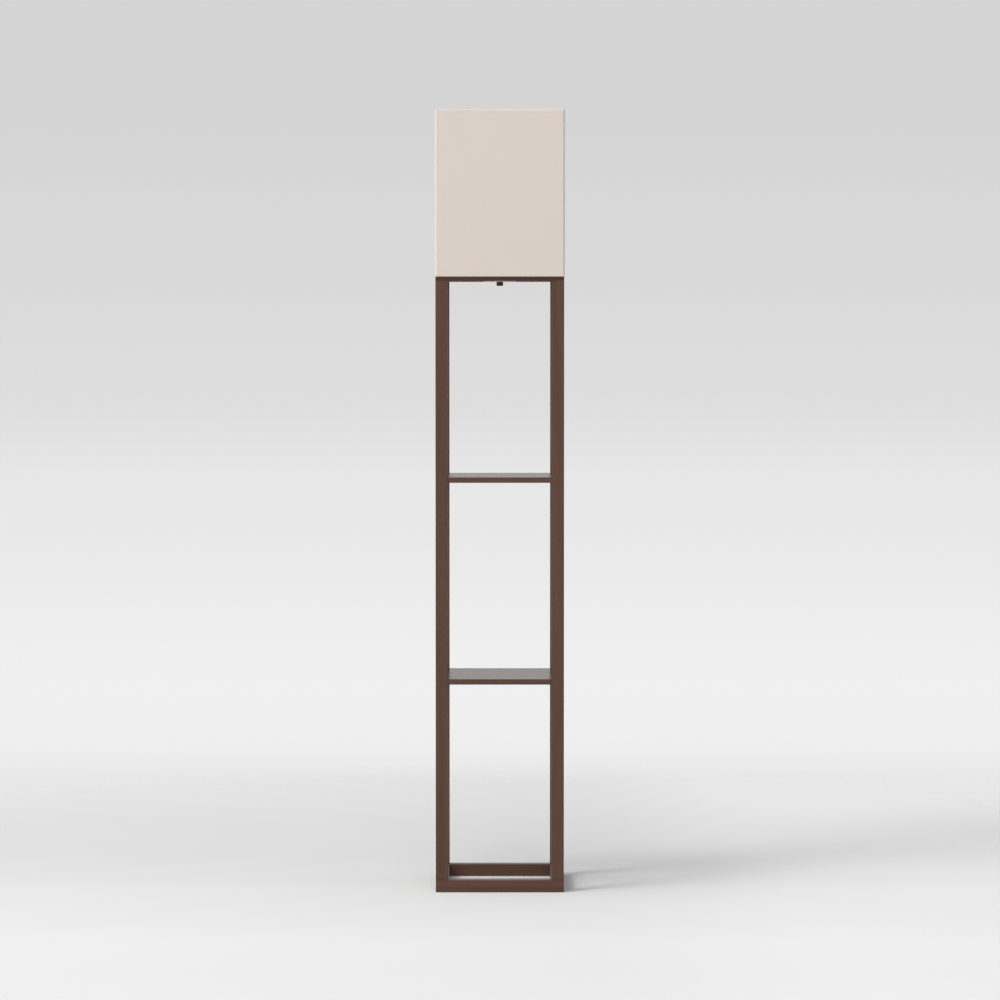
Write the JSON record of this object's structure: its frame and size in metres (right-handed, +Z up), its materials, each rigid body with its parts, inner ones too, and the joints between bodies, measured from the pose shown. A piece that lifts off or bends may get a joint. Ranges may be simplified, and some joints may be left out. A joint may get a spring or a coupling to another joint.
{
  "type": "shelf floor lamp",
  "caption": "Tall square wooden floor lamp with open shelves between four posts, a square fabric shade on the top board and a rotary switch below the board.",
  "frame": {"origin": "on the floor, at the middle of the square base", "axes": "+Z up along the posts, the front faces -Y, +X to the right as seen from the front"},
  "size_m": [0.2624, 0.2624, 1.5874],
  "materials": {
    "walnut_wood": "satin walnut stain",
    "tenon_wood": "plain beech",
    "zinc_screws": "zinc plated",
    "linen_shade": "fine off-white linen",
    "shade_film": "white styrene film",
    "white_wire": "white powder coat",
    "plate_steel": "galvanised",
    "black_moulding": "black phenolic",
    "knob_black": "satin black",
    "brass_parts": "plain brass",
    "insulator_ceramic": "unglazed",
    "lead_sleeve": "black insulation",
    "bulb_nickel": "nickel plated",
    "bulb_black_glass": "black insulator",
    "bulb_housing_white": "white",
    "bulb_frosted": "frosted diffuser"
  },
  "bodies": {
    "lamp": {"post_front_left": "walnut_wood", "post_front_right": "walnut_wood", "post_rear_left": "walnut_wood", "post_rear_right": "walnut_wood", "base_rail_front": "walnut_wood", "base_rail_rear": "walnut_wood", "base_rail_left": "walnut_wood", "base_rail_right": "walnut_wood", "shelf_lower": "walnut_wood", "shelf_upper": "walnut_wood", "top_board": "walnut_wood", "base_rail_tenons": "tenon_wood", "base_post_tenons": "tenon_wood", "shelf_lower_tenons": "tenon_wood", "shelf_upper_tenons": "tenon_wood", "board_tenons": "tenon_wood", "board_screws": "zinc_screws", "shade_fabric": "linen_shade", "shade_liner": "shade_film", "shade_ring_upper": "white_wire", "shade_ring_lower": "white_wire", "shade_spider": "white_wire", "switch_plate": "plate_steel", "plate_bolts": "zinc_screws", "switch_body": "black_moulding", "switch_bushing": "brass_parts", "switch_nut": "brass_parts", "socket_bracket": "plate_steel", "bracket_nuts": "zinc_screws", "socket_nipple": "plate_steel", "nipple_nut": "plate_steel", "socket_cap": "black_moulding", "socket_shell": "black_moulding", "socket_insulator": "insulator_ceramic", "socket_screw_shell": "brass_parts", "socket_contact": "brass_parts", "lock_ring": "black_moulding", "supply_leads": "lead_sleeve", "cord_grommet": "lead_sleeve"},
    "knob": {"switch_spindle": "brass_parts", "switch_knob": "knob_black"},
    "bulb": {"bulb_tip": "bulb_nickel", "bulb_insulator": "bulb_black_glass", "bulb_base": "bulb_nickel", "bulb_housing": "bulb_housing_white", "bulb_globe": "bulb_frosted"}
  },
  "joints": [
    {"name": "knob_turn", "type": "hinge", "parent": "lamp", "child": "knob", "pos_m": [0, 0, 1.2334], "axis": [0, 0, -1], "continuous": true},
    {"name": "bulb_lift", "type": "slide", "parent": "lamp", "child": "bulb", "axis": [0, 0, 1], "range_m": [0, 0.28]}
  ]
}
